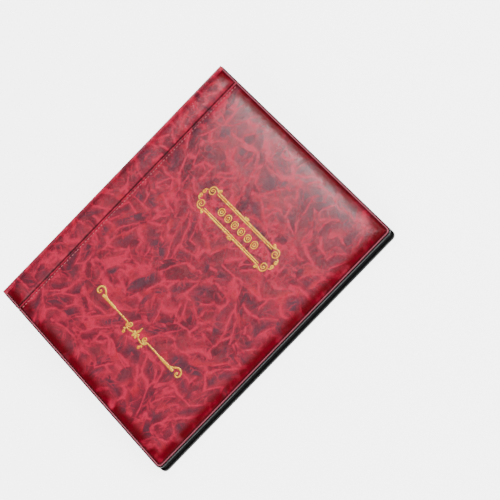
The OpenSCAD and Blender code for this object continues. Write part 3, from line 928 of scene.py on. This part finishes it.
def stamp(name, shapes, at, node):
    """One foil piece of lines and beads, given in millimetres about a point of the panel."""
    out = []
    for kind, data, *rest in shapes:
        if kind == "line":
            out.append(line(at + np.array(data) * MM, np.array(rest[0]) * MM, *rest[1:]))
        else:
            a, b = at + np.array(data) * MM
            out.append(bead(a, b, rest[0] * MM, *rest[1:]))
    verts, faces, uvs, crests = gather(out)
    foil = piece(name, verts, faces, GOLD, uvs, crests, sharp=60)
    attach(foil, "front_panel")
    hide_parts(node)


def foil_span(node):
    """The middle of a CAD foil node on the panel, and half its length in millimetres."""
    (a0, a1, b0, b1), _ = front.span(node)
    return np.array(((a0 + a1) / 2, (b0 + b1) / 2)), (a1 - a0) / 2 / MM


def flower(x, y, r):
    """Five petals round a bead."""
    shapes = [("bead", (x, y), r * 0.42)]
    for k in range(5):
        q = math.radians(90 + 72 * k)
        shapes.append(("bead", (x + r * 0.86 * math.cos(q), y + r * 0.86 * math.sin(q)), r * 0.42, 1.35, q))
    return shapes


# Shapes are in millimetres about a point of the panel, x away from the spine and y to the head.
FOIL = 1.1  # usual width of a stamped line
ROW_HALF = 9.6  # from the middle of the frame to its long lines
MARK_COUNT, MARK_PITCH = 6, 9.0  # coin marks in a row
BAR_DROP = 3.9 * MM  # how far the bar ornament reaches below its bar, in metres


def taper(points, w0, w1):
    """Line widths that change evenly from w0 to w1."""
    return np.linspace(w0, w1, len(points))


frame_at, frame_half = foil_span("gold_frame")
marks_at, _ = foil_span("gold_coin_row")
shapes = []
eye = (frame_half - 8.3, 6.9)
scroll = spiral(eye, 4.6, 1.3, 128, -1.5)
lead_in = [
    (28, ROW_HALF), (frame_half - 17, ROW_HALF), (frame_half - 13.6, ROW_HALF + 0.25), tuple(scroll[0]),
]
end = np.vstack([curve(lead_in, 16)[:-1], scroll])
middle = [(x, ROW_HALF) for x in np.linspace(-27, 27, 28)]
outline = np.vstack([mirrored(end[::-1], -1, 1), middle, end])
stops = (0, len(end), len(end) + len(middle), len(outline))
outline_width = FOIL * np.interp(np.arange(len(outline)), stops, (0.65, 1.1, 1.1, 0.65))
for sy in (-1, 1):
    shapes.append(("line", mirrored(outline, 1, sy), outline_width))
    for sx in (-1, 1):
        shapes.append(("bead", mirrored(eye, sx, sy), 0.6))
        shapes.append(("bead", mirrored((frame_half - 12.6, ROW_HALF + 1.5), sx, sy), 0.95))
        shapes.append(("bead", mirrored((frame_half - 14.4, ROW_HALF + 2.3), sx, sy), 1.25))
        bud = spiral((frame_half - 1.9, 2.1), 1.9, 0.7, 60, 1.1, 26)
        stem = curve([(frame_half - 3.9, 5.6), (frame_half - 2.4, 4.9), tuple(bud[0])], 8)[:-1]
        path = np.vstack([stem, bud])
        shapes.append(("line", mirrored(path, sx, sy), taper(path, FOIL * 0.7, FOIL)))
        shapes.append(("bead", mirrored((frame_half - 1.9, 2.1), sx, sy), 0.6))
        shapes.append(("bead", mirrored((1.7, ROW_HALF + 1.4), sx, sy), 0.8, 1.3, sx * sy * 0.5))
    shapes.append(("bead", (0, sy * (ROW_HALF + 1.9)), 0.8))
    rule = [(x, sy * (ROW_HALF - 1.75)) for x in np.linspace(-frame_half + 13.5, frame_half - 13.5, 40)]
    shapes.append(("line", rule, FOIL * 0.75))
stamp("gold_scroll_frame", shapes, frame_at, "gold_frame")

shapes = []
for k in range(MARK_COUNT):
    x = (k - (MARK_COUNT - 1) / 2) * MARK_PITCH
    for r, w in ((3.15, 0.85), (1.3, 0.8)):
        q = np.linspace(0, TAU, 33)
        ring = np.column_stack([x + r * np.cos(q), r * np.sin(q)])
        ring[-1] = ring[0]
        shapes.append(("line", ring, w))
stamp("gold_coin_marks", shapes, marks_at, "gold_coin_row")

bar_at, bar_half = foil_span("gold_ornament")
bar_at[1] = front.span("gold_ornament")[0][2] + BAR_DROP
shapes = flower(0, -2.0, 2.7)
shapes.append(("bead", (0.7, 3.0), 0.85, 3.1, math.pi / 2))
for sx in (-1, 1):
    eye = (bar_half - 2.5, 0.9)
    hook = spiral(eye, 6.4, 0.8, 163, -1.2, 46, 0.55)
    tail = curve([(bar_half - 13.5, 0.4), (bar_half - 11, 1.5), tuple(hook[0])], 8)[:-1]
    path = np.vstack([tail, hook])
    width = np.interp(np.arange(len(path)), (0, 8, 24, 60), (0.8, 1.5, 1.3, 0.9))
    shapes.append(("line", mirrored(path, sx, 1), width))
    shapes.append(("bead", mirrored(eye, sx, 1), 0.75))
    thick = [(x, 0.0) for x in np.linspace(31, bar_half - 7.2, 16)]
    width = np.interp(np.arange(len(thick)), (0, 2, 15), (1.4, 2.1, 2.3))
    shapes.append(("line", mirrored(thick, sx, 1), width, 0.8))
    thin = [(x, 0.0) for x in np.linspace(13.5, 32, 14)]
    shapes.append(("line", mirrored(thin, sx, 1), FOIL * 1.05))
    knot = spiral((10.4, 0.3), 3.0, 0.6, 0, -1.45, 34)
    shapes.append(("line", mirrored(knot, sx, 1), taper(knot, FOIL * 1.1, FOIL * 0.8)))
    link = curve([(14.2, 0.2), (13.0, -2.6), (10.2, -3.7), (6.6, -3.4), (3.2, -2.2)], 20)
    shapes.append(("line", mirrored(link, sx, 1), FOIL))
    stem = curve([(11.6, -3.4), (11.4, -5.4), (10.8, -7.2)], 8)
    shapes.append(("line", mirrored(stem, sx, 1), FOIL * 0.8))
    shapes.append(("bead", mirrored((10.7, -7.8), sx, 1), 1.45))
    shapes.append(("bead", mirrored((12.6, -5.6), sx, 1), 0.75))
stamp("gold_scroll_bar", shapes, bar_at, "gold_ornament")


# ---- pages: puffed clear pockets over black sheets ----

PAGE_COUNT = 8
POCKET_COLS, POCKET_ROWS = 5, 6
SWELL_RUN = 7 * MM  # how far from a weld a pocket is fully swollen


def pocket_film(i):
    """One closed film with a grid of pockets, each swelling a little between its welds."""
    sheet, film = f"page_{i}_sheet", f"page_{i}_pockets"
    page = Plane(sheet, (0, 0, 1), cloud(sheet).mean(0))
    (a0, a1, b0, b1), (h0, h1) = page.span(film)
    wa, wb = (a1 - a0) / POCKET_COLS, (b1 - b0) / POCKET_ROWS
    steps = np.array((0.0, 0.03, 0.1, 0.26, 0.5, 0.74, 0.9, 0.97))
    ta = np.append(np.concatenate([a0 + (c + steps) * wa for c in range(POCKET_COLS)]), a1)
    tb = np.append(np.concatenate([b0 + (r + steps) * wb for r in range(POCKET_ROWS)]), b1)
    a, b = [g.ravel() for g in np.meshgrid(ta, tb, indexing="ij")]
    fa, fb = (a - a0) / wa % 1.0, (b - b0) / wb % 1.0
    da, db = np.minimum(fa, 1 - fa) * wa, np.minimum(fb, 1 - fb) * wb
    d = np.minimum(da, db)
    puff = smooth(da / SWELL_RUN) * smooth(db / SWELL_RUN) * smooth((d - 0.8 * MM) / (2 * MM) + 0.2)
    slack = 1 + 0.35 * swell(a, b, 23 * MM, i * 1.3)
    top_h = h0 + 0.16 * MM + (h1 - h0 - 0.12 * MM) * puff * np.clip(slack, 0.5, 1.0)
    upper = page.place(a, b, top_h)
    lower = page.place(a, b, np.full(len(a), h0 + 0.02 * MM))
    grid, rim = grid_faces(len(ta), len(tb))
    base = len(a)
    under = [tuple(base + v for v in reversed(f)) for f in grid]
    faces = grid + under + bridge(rim, [base + v for v in rim])
    uv = np.column_stack([a + 0.31 * i, b])
    obj = piece(
        f"page_{i}_film", np.vstack([upper, lower]), faces, FILM,
        np.vstack([uv, uv]), np.concatenate([d, d]), sharp=60,
    )
    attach(obj, f"page_{i}")
    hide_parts(film)


for i in range(1, PAGE_COUNT + 1):
    pocket_film(i)


# ---- better materials for the CAD nodes that stay ----

KEPT = {
    LINING: ("back_lining", "spine_lining", "strip_lining", "front_lining"),
    BOARD: ("back_board", "spine_board", "strip_board", "front_board"),
    STEEL: ("ring_rail", "blade_upper", "blade_lower"),
    NICKEL: (
        "rail_rivets", "half_rings_upper", "half_rings_lower",
        "lever_head", "lever_tail", "lever_pins",
    ),
    SHEET: tuple(f"page_{i}_sheet" for i in range(1, PAGE_COUNT + 1)),
    FOAM: ("front_foam", "strip_foam"),
}
for material, names in KEPT.items():
    for name in names:
        slots = frame["nodes"][name].material_slots
        if slots:
            for s in slots:
                s.material = material
        else:
            frame["nodes"][name].data.materials.append(material)


# ---- floor, light and camera ----

FLOOR_DROP = 0.2 * MM  # keeps the floor clear of the back cover

bm = bmesh.new()
bmesh.ops.create_grid(bm, x_segments=8, y_segments=8, size=4.0)
floor_mesh = bpy.data.meshes.new("floor")
bm.to_mesh(floor_mesh)
bm.free()
floor = bpy.data.objects.new("floor", floor_mesh)
floor.location.z = -FLOOR_DROP
floor_mesh.materials.append(pale_floor())
bpy.context.scene.collection.objects.link(floor)

AIM = Vector((33.38, 42.20, 20.0)) * MM
AZIMUTH, ELEVATION, ROLL = math.radians(4.142), math.radians(53.085), math.radians(49.228)
DISTANCE = 1.975
LENS, SENSOR = 172.8, 36.0

to_camera = Vector((
    math.cos(ELEVATION) * math.cos(AZIMUTH), math.cos(ELEVATION) * math.sin(AZIMUTH), math.sin(ELEVATION),
))
camera_data = bpy.data.cameras.new("camera")
camera_data.lens, camera_data.sensor_width = LENS, SENSOR
camera = bpy.data.objects.new("camera", camera_data)
bpy.context.scene.collection.objects.link(camera)
camera.location = AIM + to_camera * DISTANCE
upright = (-to_camera).to_track_quat("-Z", "Y").to_matrix()
camera.rotation_euler = (upright @ Matrix.Rotation(-ROLL, 3, "Z")).to_euler()
bpy.context.scene.camera = camera


def lamp(name, direction, distance, size, power):
    """A round soft lamp that stands at a distance in a direction and faces the origin."""
    data = bpy.data.lights.new(name, "AREA")
    data.shape, data.size, data.energy = "DISK", size, power
    obj = bpy.data.objects.new(name, data)
    bpy.context.scene.collection.objects.link(obj)
    direction = Vector(direction).normalized()
    obj.location = direction * distance
    obj.rotation_euler = (-direction).to_track_quat("-Z", "Y").to_euler()


lamp("key", (0.25, 0.95, 0.95), 1.9, 1.2, 36)
lamp("fill", (0.85, -1.0, 0.95), 2.2, 1.6, 46)
lamp("sheen", (-0.43, 0.24, 0.88), 1.7, 0.4, 7.5)
world = bpy.data.worlds.new("studio")
world.use_nodes = True
sky = world.node_tree.nodes["Background"]
sky.inputs["Color"].default_value = (1, 1, 1, 1)
sky.inputs["Strength"].default_value = 0.2
bpy.context.scene.world = world
